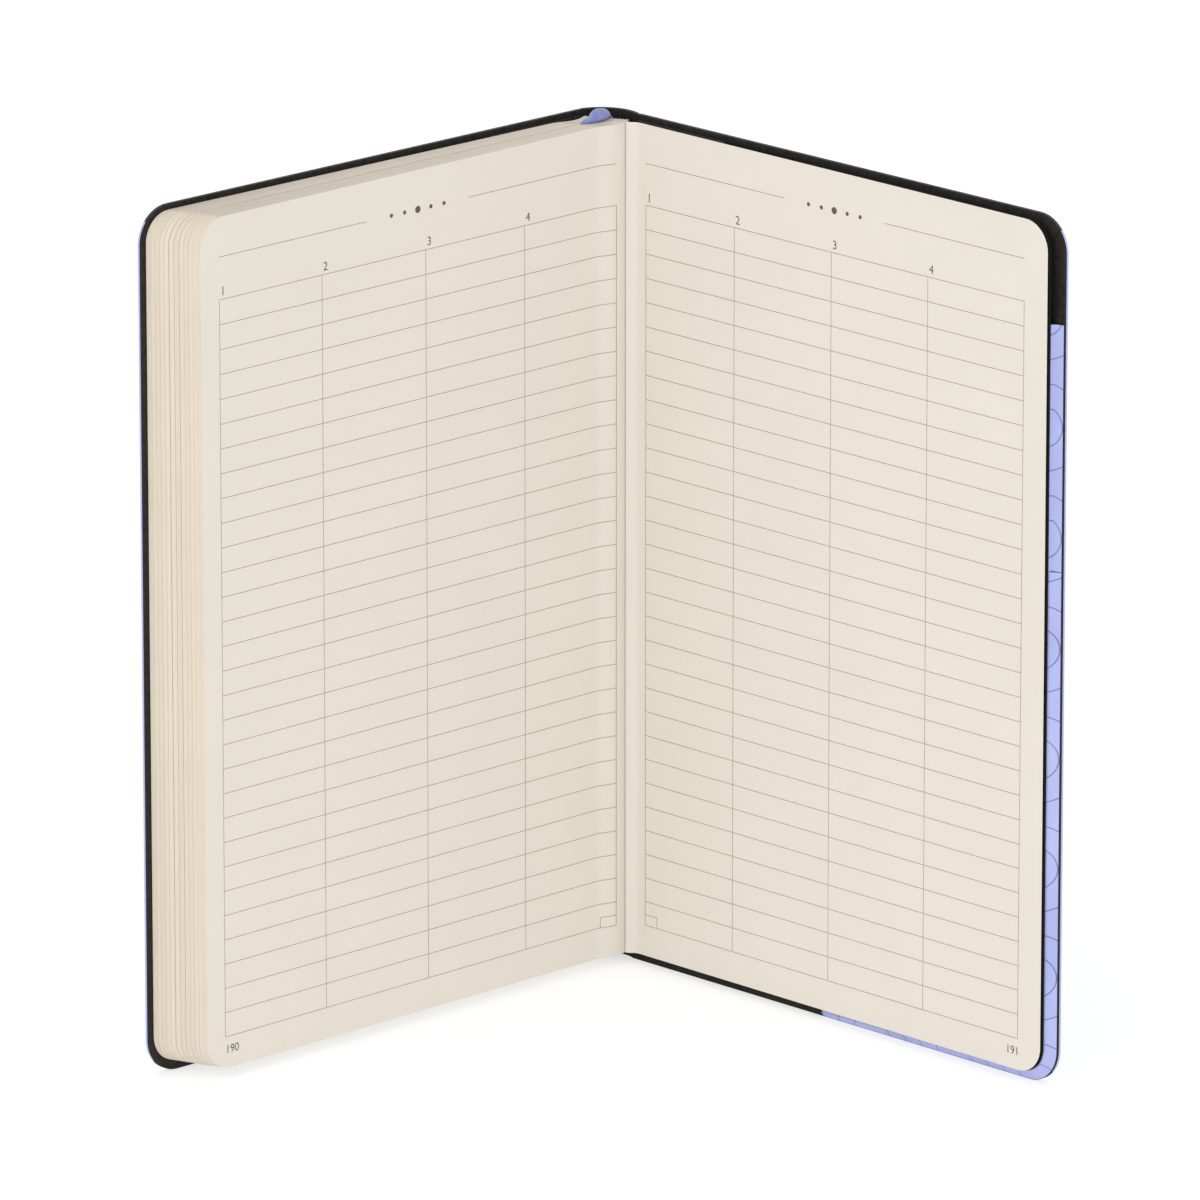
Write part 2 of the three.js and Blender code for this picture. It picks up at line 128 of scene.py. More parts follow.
# %% Place the camera
TARGET = (BOOK.translation + Vector((-1.2, -43.5, 90.4))) * MM
CAMERA_RISE = math.radians(16.5)
CAMERA_DISTANCE = 2729.06 * MM
SENSOR_WIDTH = 36
FOCAL_PIXELS, FRAME_PIXELS = 13465.16, 1200

lens = bpy.data.cameras.new("long_lens")
lens.sensor_width = SENSOR_WIDTH
lens.lens = SENSOR_WIDTH * FOCAL_PIXELS / FRAME_PIXELS
lens.clip_start, lens.clip_end = 0.1, 100
camera = bpy.data.objects.new("camera", lens)
bpy.context.scene.collection.objects.link(camera)
away = Vector((0, -math.cos(CAMERA_RISE), math.sin(CAMERA_RISE)))
camera.location = TARGET + away * CAMERA_DISTANCE
camera.rotation_euler = (math.pi / 2 - CAMERA_RISE, 0, 0)
bpy.context.scene.camera = camera
print("lens in mm:", round(lens.lens, 1))

# %% [markdown]
# ## Helpers for meshes
# Most pieces of a book are strips: a line in plan, drawn up from a low edge to a high edge and
# given a thickness. Solidify modifiers could thicken them, but the two sides would then come
# from one face and couldn't differ. One helper lists the faces of a closed strip, and another
# turns points and faces into an object. Points are given in millimetres. Where two faces meet
# at more than the crease angle, their edge stays crisp.

# %% Mesh helpers
CREASE_ANGLE = math.radians(50)


def make_object(name, points, faces, material, smooth=True):
    """A mesh object from points in millimetres. smooth is one value, or one for each face."""
    mesh = bpy.data.meshes.new(name)
    mesh.from_pydata([Vector(p) * MM for p in points], [], faces)
    mesh.materials.append(material)
    shades = smooth if isinstance(smooth, list) else [smooth] * len(faces)
    mesh.polygons.foreach_set("use_smooth", shades)
    mesh.update()
    mesh.set_sharp_from_angle(angle=CREASE_ANGLE)
    made = bpy.data.objects.new(name, mesh)
    bpy.context.scene.collection.objects.link(made)
    return made


def strip_faces(columns, first=0):
    """Faces of a closed strip whose columns have four points each: two in front, two behind."""
    faces = []
    for column in range(columns - 1):
        a = first + column * 4
        for corner in range(4):
            b = a + (corner + 1) % 4
            faces.append((a + corner, b, b + 4, a + corner + 4))
    end = first + (columns - 1) * 4
    faces.append((first + 3, first + 2, first + 1, first))
    faces.append((end, end + 1, end + 2, end + 3))
    return faces


print("edges stay crisp from", round(math.degrees(CREASE_ANGLE)), "degrees")

# %% [markdown]
# ## The outline of a leaf
# The pages have rounded corners at the fore-edge. A boolean cut could round them, but it leaves
# uneven faces. A leaf gets columns of points instead, close together in its bend and round its
# corner, and the corner takes something off the head and foot of each column.

# %% Columns of a leaf
STEP_GROWTH, WIDEST_STEP = 1.5, 12
CORNER_TURNS = 10


def corner_rise(x, edge, corner):
    """How far the rounded corner has come in from the head or foot at x."""
    past = x - (edge - corner)
    if past <= 0:
        return 0
    return corner - math.sqrt(max(corner * corner - past * past, 0))


def leaf_columns(start, edge, corner, spacing, reach):
    """Places along a leaf where it gets a column of points: close in the bend and the corner."""
    places = [start]
    step = spacing
    while places[-1] + step < edge - corner:
        places.append(places[-1] + step)
        step = spacing if places[-1] < reach else min(step * STEP_GROWTH, WIDEST_STEP)
    for turn in range(CORNER_TURNS + 1):
        places.append(edge - corner + corner * math.sin(math.pi / 2 * turn / CORNER_TURNS))
    return places


halved = corner_rise(PAGE_CORNER / 2, PAGE_CORNER, PAGE_CORNER)
print("half way along, a corner takes off", round(halved, 2), "mm")

# %% [markdown]
# ## Helpers for finishes
# A finish is a small tree of nodes round one Principled shader. Colour comes from a ramp over
# noise, and relief from a bump. Each could be wired by hand, but a class with short names keeps
# every finish down to a few lines. Numbers that are the same all over are set on the shader's
# own sockets.

# %% Node helpers
END_GRAIN = 0.6


class Finish:
    """A material with short names for adding and joining its nodes."""

    def __init__(self, name, roughness, specular=0.3):
        self.material = bpy.data.materials.new(name)
        self.material.use_nodes = True
        self.tree = self.material.node_tree
        self.shader = self.tree.nodes["Principled BSDF"]
        self.shader.inputs["Roughness"].default_value = roughness
        self.shader.inputs["Specular IOR Level"].default_value = specular
        self.place = self.add("ShaderNodeTexCoord").outputs["Object"]

    def add(self, kind, inputs=None, **settings):
        node = self.tree.nodes.new(kind)
        for key, value in settings.items():
            setattr(node, key, value)
        for key, value in (inputs or {}).items():
            if hasattr(value, "is_output"):
                self.tree.links.new(value, node.inputs[key])
            else:
                node.inputs[key].default_value = value
        return node

    def noise(self, scale, detail=3.0, stretch=(1, 1, 1), place=None):
        mapped = self.add(
            "ShaderNodeMapping", {"Vector": place or self.place, "Scale": stretch}
        ).outputs[0]
        return self.add(
            "ShaderNodeTexNoise", {"Vector": mapped, "Scale": scale, "Detail": detail}
        ).outputs["Fac"]

    def ramp(self, value, *stops):
        node = self.add("ShaderNodeValToRGB", {"Fac": value})
        while len(node.color_ramp.elements) < len(stops):
            node.color_ramp.elements.new(0.5)
        for element, (position, color) in zip(node.color_ramp.elements, stops):
            element.position = position
            element.color = (*color, 1)
        return node.outputs["Color"]

    def math(self, operation, a, b=0.0):
        return self.add("ShaderNodeMath", {0: a, 1: b}, operation=operation).outputs[0]

    def scaled(self, colour, factor):
        """A colour made lighter or darker by a factor."""
        node = self.add("ShaderNodeVectorMath", {0: colour, "Scale": factor}, operation="SCALE")
        return node.outputs[0]

    def mixed(self, share, a, b):
        """Colour a where the share is 0, and b where it is 1."""
        node = self.add("ShaderNodeMix", {0: share, 6: a, 7: b}, data_type="RGBA")
        return node.outputs[2]

    def end_grain(self):
        """1 on faces that look up or down, and 0 on upright ones."""
        normal = self.add("ShaderNodeNewGeometry").outputs["Normal"]
        height = self.add("ShaderNodeSeparateXYZ", {0: normal}).outputs["Z"]
        return self.math("GREATER_THAN", self.math("ABSOLUTE", height), END_GRAIN)

    def colour(self, output):
        self.tree.links.new(output, self.shader.inputs["Base Color"])

    def bump(self, height, distance, strength):
        node = self.add(
            "ShaderNodeBump",
            {"Height": height, "Distance": distance * MM, "Strength": strength},
        )
        self.tree.links.new(node.outputs[0], self.shader.inputs["Normal"])


def srgb(red, green, blue):
    """A colour from 0 to 255, as it looks on a screen, as linear light."""
    return tuple(
        c / 12.92 if c <= 0.04045 else ((c + 0.055) / 1.055) ** 2.4
        for c in (red / 255, green / 255, blue / 255)
    )


print("half grey on a screen is", round(srgb(128, 128, 128)[0], 3), "of full light")

# %% [markdown]
# ## Paper and ink
# Cream writing paper is uncoated: matt, with a faint cloud of fibres. Where the block was
# trimmed at the fore-edge it is a little warmer, and its head is greyer. Each sheet has a tone
# of its own, which makes the fine lines on the trimmed block. Three materials could do this,
# but one finish that reads two numbers of each face needs no seams: leaf_tone is the sheet's
# tone, and cut tells a page from the fore-edge and from the head and foot. The ruling is a thin
# grey-brown ink.

# %% Paper and print finishes
CUT_PAGE, CUT_FORE, CUT_HEAD = 0.0, 0.5, 1.0


def paper_finish():
    finish = Finish("cream_paper", roughness=0.85, specular=0.2)
    cloud = finish.math("MULTIPLY", finish.math("SUBTRACT", finish.noise(60, detail=5), 0.5), 0.05)
    cut = finish.add("ShaderNodeAttribute", attribute_name="cut").outputs["Fac"]
    tone = finish.add("ShaderNodeAttribute", attribute_name="leaf_tone").outputs["Fac"]
    page, fore, head = srgb(228, 222, 211), srgb(253, 238, 216), srgb(224, 213, 198)
    paper = finish.ramp(cut, (CUT_PAGE, page), (CUT_FORE, fore), (CUT_HEAD, head))
    change = finish.math("ADD", finish.math("ADD", tone, cloud), 1.0)
    finish.colour(finish.scaled(paper, change))
    finish.bump(finish.noise(2600, detail=4), 0.02, 0.3)
    return finish.material


def ink_finish(name, low, high):
    finish = Finish(name, roughness=0.8, specular=0.2)
    finish.colour(finish.ramp(finish.noise(1400), (0.3, srgb(*low)), (0.7, srgb(*high))))
    return finish.material


PAPER = paper_finish()
RULING_INK = ink_finish("ruling_ink", (158, 148, 134), (176, 166, 150))
NUMERAL_INK = ink_finish("numeral_ink", (88, 80, 73), (110, 102, 93))
print("paper and print finishes are ready")

# %% [markdown]
# ## Cover materials
# The cover's outer skin is imitation leather: a soft lavender film with a fine pebbled grain.
# Noise alone would look like stone, so cells of a Voronoi texture give the pebbles, and noise
# breaks them up. Its cut edge at the head and foot shows the dark backing. The core and its
# lining are black and matt, and so are the endpapers, which are smoother and deeper.

# %% Skin, board and endpaper finishes
def leather_finish():
    finish = Finish("lavender_skin", roughness=0.52, specular=0.4)
    pebbles = finish.add(
        "ShaderNodeTexVoronoi", {"Vector": finish.place, "Scale": 1500.0, "Randomness": 1.0}
    ).outputs["Distance"]
    crumple = finish.noise(700, detail=4)
    cloud = finish.noise(90, detail=5)
    height = finish.math("ADD", pebbles, finish.math("MULTIPLY", crumple, 0.6))
    finish.bump(height, 0.05, 0.5)
    shade = finish.math("ADD", cloud, finish.math("MULTIPLY", pebbles, 0.25))
    film = finish.ramp(shade, (0.2, srgb(170, 178, 227)), (0.95, srgb(182, 189, 236)))
    backing = finish.ramp(crumple, (0.3, srgb(26, 23, 21)), (0.8, srgb(44, 40, 38)))
    finish.colour(finish.mixed(finish.end_grain(), film, backing))
    return finish.material


def black_finish(name, low, high, scale, depth):
    finish = Finish(name, roughness=0.8, specular=0.25)
    fibres = finish.noise(scale, detail=5)
    finish.colour(finish.ramp(fibres, (0.3, srgb(*low)), (0.75, srgb(*high))))
    finish.bump(fibres, depth, 0.6)
    return finish.material


SKIN = leather_finish()
BOARD = black_finish("black_core", (27, 24, 22), (47, 43, 40), 900, 0.04)
ENDPAPER = black_finish("black_endpaper", (15, 14, 14), (26, 24, 23), 1700, 0.02)
print("cover finishes are ready")

# %% [markdown]
# ## Cloth and thread
# The back of the block is lined with an open, stiffened cloth. Its threads could be modelled
# one by one, but they are finer than a picture shows, so waves at right angles stand for warp
# and weft. The sewing thread shows its twist in the same way.

# %% Cloth and thread finishes
def woven_finish(name, low, high, scale, roughness):
    finish = Finish(name, roughness=roughness, specular=0.25)
    turned = finish.add(
        "ShaderNodeMapping", {"Vector": finish.place, "Rotation": (0, 0, SPINE_TURN)}
    ).outputs[0]
    warp, weft = (
        finish.add(
            "ShaderNodeTexWave",
            {"Vector": turned, "Scale": scale, "Distortion": 0.6},
            bands_direction=direction,
        ).outputs["Fac"]
        for direction in ("X", "Z")
    )
    weave = finish.math("MAXIMUM", warp, weft)
    finish.colour(finish.ramp(weave, (0.2, srgb(*low)), (0.9, srgb(*high))))
    finish.bump(weave, 0.06, 0.6)
    return finish.material


CLOTH = woven_finish("lining_cloth", (24, 21, 19), (66, 60, 54), 420, 0.9)
THREAD = woven_finish("sewing_thread", (186, 174, 150), (232, 223, 204), 900, 0.75)
print("cloth and thread finishes are ready")

# %% [markdown]
# ## Ribbon and pocket paper
# The ribbon is satin, so it has fine ribs across and a soft sheen. Its waves follow a flat map
# of the ribbon, because waves in space would slide over it where it arches. The pocket is a
# strong coloured paper, printed all over with rings of fine lines in a deeper tone. The rings
# are drawn by the distance to the points of a plain grid.

# %% Ribbon and pocket finishes
RING_GRID, RING_STEP, RING_LINE = 23, 4.6, 0.24


def ribbon_finish():
    finish = Finish("satin_ribbon", roughness=0.42, specular=0.45)
    finish.shader.inputs["Sheen Weight"].default_value = 0.35
    finish.shader.inputs["Sheen Roughness"].default_value = 0.4
    flat = finish.add("ShaderNodeUVMap", uv_map="flat").outputs[0]
    ribs = finish.add(
        "ShaderNodeTexWave",
        {"Vector": flat, "Scale": 9.0, "Distortion": 0.4},
        bands_direction="X",
    ).outputs["Fac"]
    streaks = finish.noise(1.0, detail=3, stretch=(0.4, 9, 1), place=flat)
    finish.colour(finish.ramp(streaks, (0.3, srgb(112, 122, 184)), (0.75, srgb(142, 152, 212))))
    finish.bump(ribs, 0.02, 0.5)
    return finish.material


def pocket_finish():
    """Coloured paper with rings of fine printed lines round the points of a plain grid."""
    finish = Finish("pocket_paper", roughness=0.6, specular=0.3)
    cover_turn = SPINE_TURN + math.radians(90 - BACK_COVER_OPEN)
    along = finish.add(
        "ShaderNodeMapping", {"Vector": finish.place, "Rotation": (0, 0, cover_turn)}
    ).outputs[0]
    parts = finish.add("ShaderNodeSeparateXYZ", {0: along}).outputs
    flat = finish.add("ShaderNodeCombineXYZ", {0: parts["X"], 1: parts["Z"]}).outputs[0]
    from_point = finish.add(
        "ShaderNodeTexVoronoi",
        {"Vector": flat, "Scale": 1 / (RING_GRID * MM), "Randomness": 0.0},
        voronoi_dimensions="2D",
    ).outputs["Distance"]
    ring = finish.math("FRACT", finish.math("MULTIPLY", from_point, RING_GRID / RING_STEP))
    line = finish.math("LESS_THAN", ring, RING_LINE / RING_STEP)
    cloud = finish.noise(60, detail=5)
    paper = finish.ramp(cloud, (0.3, srgb(168, 175, 226)), (0.75, srgb(184, 191, 238)))
    print_line = finish.ramp(cloud, (0.3, srgb(112, 118, 166)), (0.75, srgb(134, 140, 188)))
    finish.colour(finish.mixed(line, paper, print_line))
    relief = finish.math("SUBTRACT", finish.noise(1900, detail=4), line)
    finish.bump(relief, 0.03, 0.4)
    return finish.material


RIBBON = ribbon_finish()
POCKET = pocket_finish()
print("materials so far:", len(bpy.data.materials))

# %% [markdown]
# ## How a leaf leaves its fold
# A sewn leaf comes out of its fold square to the spine, whatever the pose, and bends over to
# where it lies within a few millimetres. An armature could bend it, but here the points are
# turned directly. The leaves of a section are therefore drawn as they are in the closed book,
# straight, and each point is then turned about the fold by a share of the section's opening.
# The share grows smoothly with the distance from the fold, so the closed book comes out
# straight again.

# %% The bend of a leaf
BEND_ROUNDS = 12


class LeafBend:
    """Bends points of a closed leaf to where they lie at rest."""

    def __init__(self, fold_x, open_degrees, reach):
        self.open = math.radians(open_degrees)
        self.reach = reach
        self.closed = hinge_frame(fold_x, 0, 0)
        self.along = Vector((math.cos(self.open), math.sin(self.open)))
        self.start = self.closed @ Vector((0, 0, 0))
        self.end = self.closed @ Vector((*(self.along * reach), 0))

    def share(self, point):
        t = min(max(point.dot(self.along) / self.reach, 0), 1)
        return t * t * (3 - 2 * t)

    def place(self, x, y, z):
        """The place in the row frame of a point of the closed leaf."""
        flat = Vector((x, y))
        turned, share = flat, self.share(flat)
        for _ in range(BEND_ROUNDS):
            turn = Matrix.Rotation(self.open * share, 2)
            turned = turn @ flat
            share = self.share(turned)
        return self.closed @ Vector((turned.x, turned.y, z))

    def blend(self, piece, body):
        """Bakes the bent piece's place into its points. The body is not used."""
        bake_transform(piece)


SECTION_REACH, LAST_REACH = 9, 2.6
bends = [
    LeafBend(fold_place(index), section_open(index), SECTION_REACH) for index in range(SECTIONS)
]
last_bend = LeafBend(LAST_LEAF_FOLD, LAST_LEAF_OPEN, LAST_REACH)
probe = (6, 0, 90)
swing = bends[-1].place(*probe) - bends[-1].closed @ Vector(probe)
print("a leaf", probe[0], "mm from its fold has swung by", round(swing.length, 2), "mm")

# %% [markdown]
# ## Sections of folded sheets
# A section is four sheets folded one inside the other, which makes eight leaves. A plain block
# with lines on its edges would be quicker, but it shows no folds at the head and no single
# leaves. So each sheet is a strip that runs in along one leaf, round the fold and out along the
# other. The leaves spread a little towards the fore-edge, as in a book that has been used. The
# block was trimmed while it stood open, so a leaf is longer or shorter by its place in the
# section.

# %% The line of a folded sheet
LEAVES = 8
SPREAD = 0.38
FOLD_STEPS = 5
LEAF_START, LEAF_SPACING = 0.2, 0.8
RIBBON_FILL = 0.13
RIBBON_CLEAR = PAGE_WIDTH - 20
leaf_pitch = SECTION_THICKNESS / LEAVES


def leaf_height(y, x):
    """How far from the section's middle a leaf lies at x, once the leaves have spread."""
    return y * (1 + SPREAD * max(x, 0) / PAGE_WIDTH)


def ribbon_fill(index, x):
    """Beyond the ribbon's tail the sections on both sides of it close its gap."""
    side = {RIBBON_AFTER - 1: 1, RIBBON_AFTER: -1}.get(index, 0)
    return side * RIBBON_FILL * max(0, x - RIBBON_CLEAR) / (PAGE_WIDTH - RIBBON_CLEAR)


def sheet_line(y, slant, halves):
    """A folded sheet seen from above, as (x, y, outward, edge) in the closed leaf's frame."""
    runs = []
    for side in halves:
        edge = PAGE_WIDTH + slant * side * y
        places = leaf_columns(LEAF_START, edge, PAGE_CORNER, LEAF_SPACING, SECTION_REACH)
        runs.append([(x, side * leaf_height(y, x), (0, side), edge) for x in places])
    bulge = FOLD_BULGE * 2 * y / SECTION_THICKNESS
    fold = []
    for step in range(FOLD_STEPS):
        turn = math.pi * (step + 0.5) / FOLD_STEPS
        outward = (-math.sin(turn), -math.cos(turn))
        fold.append((bulge * outward[0], y * outward[1], outward, PAGE_WIDTH))
    return runs[0][::-1] + fold + (runs[1] if len(runs) > 1 else [])


print("leaves lie", round(leaf_pitch, 3), "mm apart in a pressed section")

# %% [markdown]
# ## A stack of sheets
# The sheets of a section turn together, so they are one object. Each could be a piece of its
# own, but one mesh is lighter. As the mesh grows, every face is noted with its
# sheet's tone and the way it was cut, and both are stored on the mesh for the paper finish.

# %% The stack of sheets
SHEET = 0.08


class PaperStack:
    """Sheets of paper joined in one mesh, with the tone and the cut of every face."""

    def __init__(self, bend):
        self.bend = bend
        self.points, self.faces, self.smooth, self.tones, self.cuts = [], [], [], [], []

    def add(self, line, tone):
        first = len(self.points)
        for x, y, outward, edge in line:
            rise = corner_rise(x, edge, PAGE_CORNER)
            low, high = page_low + rise, page_high - rise
            for side, z in ((0.5, low), (0.5, high), (-0.5, high), (-0.5, low)):
                shift = SHEET * side
                across = (x + outward[0] * shift, y + outward[1] * shift)
                self.points.append(self.bend.place(*across, z))
        for column in line[1:]:
            rim = CUT_FORE if column[0] > column[3] - PAGE_CORNER else CUT_HEAD
            self.cuts += [CUT_PAGE, rim, CUT_PAGE, rim]
            self.smooth += [True, False, True, False]
        self.cuts += [CUT_FORE, CUT_FORE]
        self.smooth += [False, False]
        self.faces += strip_faces(len(line), first)
        self.tones += [tone] * (len(self.faces) - len(self.tones))

    def make(self, name, body, node):
        paper = make_object(name, self.points, self.faces, PAPER, self.smooth)
        for kind, values in (("leaf_tone", self.tones), ("cut", self.cuts)):
            paper.data.attributes.new(kind, "FLOAT", "FACE").data.foreach_set("value", values)
        self.bend.blend(paper, body)
        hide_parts(node)
        return paper


print("a sheet is", SHEET, "mm thick")

# %% [markdown]
# ## The twelve sections
# Each section is drawn on its own bend. The slant of its leaf edges follows from its opening.
# The outer sheet of the last section has only one half here, because its other half is the last
# leaf. The sheets' tones are drawn at random from a fixed seed, so that every run is the same.

# %% Make the sections
random.seed(7)
DARKEST, LIGHTEST = -0.05, 0.04

for index, bend in enumerate(bends):
    stack = PaperStack(bend)
    for sheet in range(LEAVES // 2):
        single = index == SECTIONS - 1 and sheet == LEAVES // 2 - 1
        folded = sheet_line(
            (sheet + 0.5) * leaf_pitch, math.tan(bend.open), (-1,) if single else (-1, 1)
        )
        line = [(x, y + ribbon_fill(index, x), outward, edge) for x, y, outward, edge in folded]
        stack.add(line, random.uniform(DARKEST, LIGHTEST))
    number = f"{index + 1:02d}"
    stack.make(f"leaves_{number}", f"section_{number}", f"section_{number}")
print("sections made:", len(bends), "with", LEAVES, "leaves each")

# %% [markdown]
# ## The last leaf
# The last leaf is the other half of the last section's outer sheet. It stands by itself on the
# right of the spread. It could leave its fold straight, but a dark gap would then show in the
# gutter. On a real book it lies against the page before it close to the fold, and comes away to
# its own place within a few millimetres, so its line leans over there.

# %% Make the last leaf
FOLD_LEAN, HUG_LEAN = 0.08, 0.3
HUG_END, LEAN_END = 1.25, 4.0
LAST_START, LAST_SPACING = -0.2, 0.25


def last_leaf_height(x):
    """How far the last leaf leans to the page before it: it hugs that page near the fold."""
    hug = min(max(x / HUG_END, 0), 1)
    away = min(max((x - HUG_END) / (LEAN_END - HUG_END), 0), 1)
    lean = FOLD_LEAN + (HUG_LEAN - FOLD_LEAN) * hug
    return -lean * (1 - away * away * (3 - 2 * away))


last_stack = PaperStack(last_bend)
last_places = leaf_columns(LAST_START, PAGE_WIDTH, PAGE_CORNER, LAST_SPACING, 2 * LAST_REACH)
last_stack.add([(x, last_leaf_height(x), (0, 1), PAGE_WIDTH) for x in last_places], 0.0)
last_leaf = last_stack.make("leaf_96", "last_leaf", "last_leaf")
print("the last leaf has", len(last_leaf.data.polygons), "faces")

# %% [markdown]
# ## Ink on a page
# Print is a thin layer on the paper. A texture could draw it, but it would blur close by, so the
# ink is thin strips, numerals and dots a hair above the page. They follow the leaf's bend,
# because they have the same columns of points as the leaf, and so the lines curve up at the
# gutter as they do on a real page. The numerals are plain built-in type, turned into a mesh.

# %% Ink on a page
LINE = 0.15
LIFT = 0.015
DOT_STEPS = 12


def glyph_mesh(text, height):
    """Points and faces of flat numerals in the plain built-in type, from their lower left."""
    curve = bpy.data.curves.new("numerals", "FONT")
    curve.body = text
    holder = bpy.data.objects.new("numerals", curve)
    bpy.context.scene.collection.objects.link(holder)
    flat = bpy.data.meshes.new_from_object(holder)
    tall = max(v.co.y for v in flat.vertices)
    points = [(v.co.x * height / tall, v.co.y * height / tall) for v in flat.vertices]
    faces = [tuple(polygon.vertices) for polygon in flat.polygons]
    bpy.data.objects.remove(holder)
    bpy.data.curves.remove(curve)
    bpy.data.meshes.remove(flat)
    return points, faces


class PagePrint:
    """Ink on one page. height gives the page's surface at x, and grid its columns of points."""

    def __init__(self, bend, height, grid, columns, read):
        self.bend, self.height, self.grid = bend, height, grid
        self.columns, self.read = columns, read
        self.points, self.faces = [], []

    def add(self, points, faces):
        first = len(self.points)
        self.points += [self.bend.place(x, self.height(x), z) for x, z in points]
        self.faces += [tuple(first + corner for corner in face) for face in faces]

    def band(self, x0, x1, z0, z1):
        places = [x0] + [x for x in self.grid if x0 < x < x1] + [x1]
        points = [(x, z) for x in places for z in (z0, z1)]
        quads = [(2 * s, 2 * s + 2, 2 * s + 3, 2 * s + 1) for s in range(len(places) - 1)]
        self.add(points, quads)

    def across(self, x0, x1, z):
        self.band(x0, x1, z - LINE / 2, z + LINE / 2)

    def upright(self, x, z0, z1):
        self.band(x - LINE / 2, x + LINE / 2, z0, z1)

    def text(self, text, x, z, height):
        points, faces = glyph_mesh(text, height)
        self.add([(x + self.read * u, z + v) for u, v in points], faces)

    def dot(self, x, z, radius):
        turns = [2 * math.pi * step / DOT_STEPS for step in range(DOT_STEPS)]
        rim = [(x + radius * math.cos(turn), z + radius * math.sin(turn)) for turn in turns]
        self.add(rim, [tuple(range(DOT_STEPS))])

    def make(self, name, body, material):
        ink = make_object(name, self.points, self.faces, material, smooth=False)
        self.bend.blend(ink, body)
        print(name, "has", len(self.faces), "faces")


print("lines are", LINE, "mm wide and", LIFT, "mm above the paper")

# %% [markdown]
# ## The table on a page
# Both pages carry a table of thirty rows and four columns, with a broken line above it and a
# page number below. The left page bows a little, so its columns have places of their own and
# aren't mirrored from the right page. The columns are headed by plain numbers, the break in the
# upper line holds a row of dots, and a small box marks the inner foot of the table.

# %% Rules and numbers of a page
RIGHT_COLUMNS = (5.0, 30.2, 57.5, 84.3, 110.7)
LEFT_COLUMNS = (4.4, 28.8, 56.1, 84.4, 112.0)
ROWS = 30
TABLE_TOP, TABLE_FOOT = 163.0, 8.83
TITLE_LINE = 171.8
TITLE_BREAK = (44.3, 72.2)
DOT_PITCH, SMALL_DOT, LARGE_DOT = 3.6, 0.45, 0.75
MARK_WIDTH, MARK_TOP = 3.4, 11.1
HEADING_INDENT, HEADING_RISE, HEADING_HEIGHT = 0.3, 0.8, 1.8
NUMBER_WIDTH, NUMBER_FOOT, NUMBER_HEIGHT = 3.2, 5.3, 1.7


def rule_page(page):
    inner, outer = page.columns[0], page.columns[-1]
    row = (TABLE_TOP - TABLE_FOOT) / ROWS
    for index in range(1, ROWS + 1):
        page.across(inner, outer, TABLE_FOOT + index * row)
    page.across(inner + MARK_WIDTH, outer, TABLE_FOOT)
    for x in page.columns:
        page.upright(x, MARK_TOP if x == inner else TABLE_FOOT, TABLE_TOP)
    page.across(inner, TITLE_BREAK[0], TITLE_LINE)
    page.across(TITLE_BREAK[1], outer, TITLE_LINE)
    for z in (TABLE_FOOT, MARK_TOP):
        page.across(inner, inner + MARK_WIDTH, z)
    for x in (inner, inner + MARK_WIDTH):
        page.upright(x, TABLE_FOOT, MARK_TOP)


def number_page(page, number):
    starts = page.columns[:-1] if page.read > 0 else page.columns[:0:-1]
    for index, x in enumerate(starts):
        indent = page.read * HEADING_INDENT
        page.text(str(index + 1), x + indent, TABLE_TOP + HEADING_RISE, HEADING_HEIGHT)
    middle = sum(TITLE_BREAK) / 2
    for index in range(-2, 3):
        page.dot(middle + index * DOT_PITCH, TITLE_LINE, SMALL_DOT if index else LARGE_DOT)
    outer = page.columns[-1] - (NUMBER_WIDTH if page.read > 0 else 0)
    page.text(number, outer, NUMBER_FOOT, NUMBER_HEIGHT)


print("a row is", round((TABLE_TOP - TABLE_FOOT) / ROWS, 2), "mm high")

# %% [markdown]
# ## Printing the open spread
# The left page is the outermost leaf that is left in the last section, and the right page is
# the last leaf. Each gets its ruling and its numerals as separate pieces, because they are two
# inks. They bend with the page.

# %% Print the open spread
OUTERMOST = (LEAVES // 2 - 2 + 0.5) * leaf_pitch


def left_page(x):
    return leaf_height(OUTERMOST, x) + SHEET / 2 + LIFT


def right_page(x):
    return last_leaf_height(x) - SHEET / 2 - LIFT


left_places = leaf_columns(LEAF_START, PAGE_WIDTH, PAGE_CORNER, LEAF_SPACING, SECTION_REACH)
left = (bends[-1], left_page, left_places, LEFT_COLUMNS, -1)
right = (last_bend, right_page, last_places, RIGHT_COLUMNS, 1)
for number, page, body in (("190", left, "section_12"), ("191", right, "last_leaf")):
    ruling = PagePrint(*page)
    rule_page(ruling)
    ruling.make(f"ruling_{number}", body, RULING_INK)
    numerals = PagePrint(*page)
    number_page(numerals, number)
    numerals.make(f"numerals_{number}", body, NUMERAL_INK)

# %% [markdown]
# ## The way of the ribbon
# The satin ribbon is glued in the hollow back, swings over the head and goes down between two
# sections, where its tail slants towards the fore-edge. Above the head it turns from lying
# along the spine to lying along the leaves. A curve with a bevel would twist there, so each
# step along the ribbon is given by its two edges, which follow two curves of their own.

# %% The way of the ribbon
RIBBON_WIDTH = 7.0
RIBBON_GLUED = 14
RIBBON_TAIL = (PAGE_WIDTH - 21, 14.2)
RIBBON_BED = 0.17
GLUED_PLACE = -1.0
HEAD_GAP = 0.1
HANG = 0.6
HOLLOW_EDGE, HOLLOW_HALF = -1.25, 2.5
ENTRY = 3.6
ARCH_FOOT, ARCH_RISE = 0.8, 0.6
NEAR_HANDLES = (0, -0.1, 0.1)
FAR_HANDLES = (3, 0.4, 1.2)
ARCH_STEPS, TAIL_STEPS = 20, 22

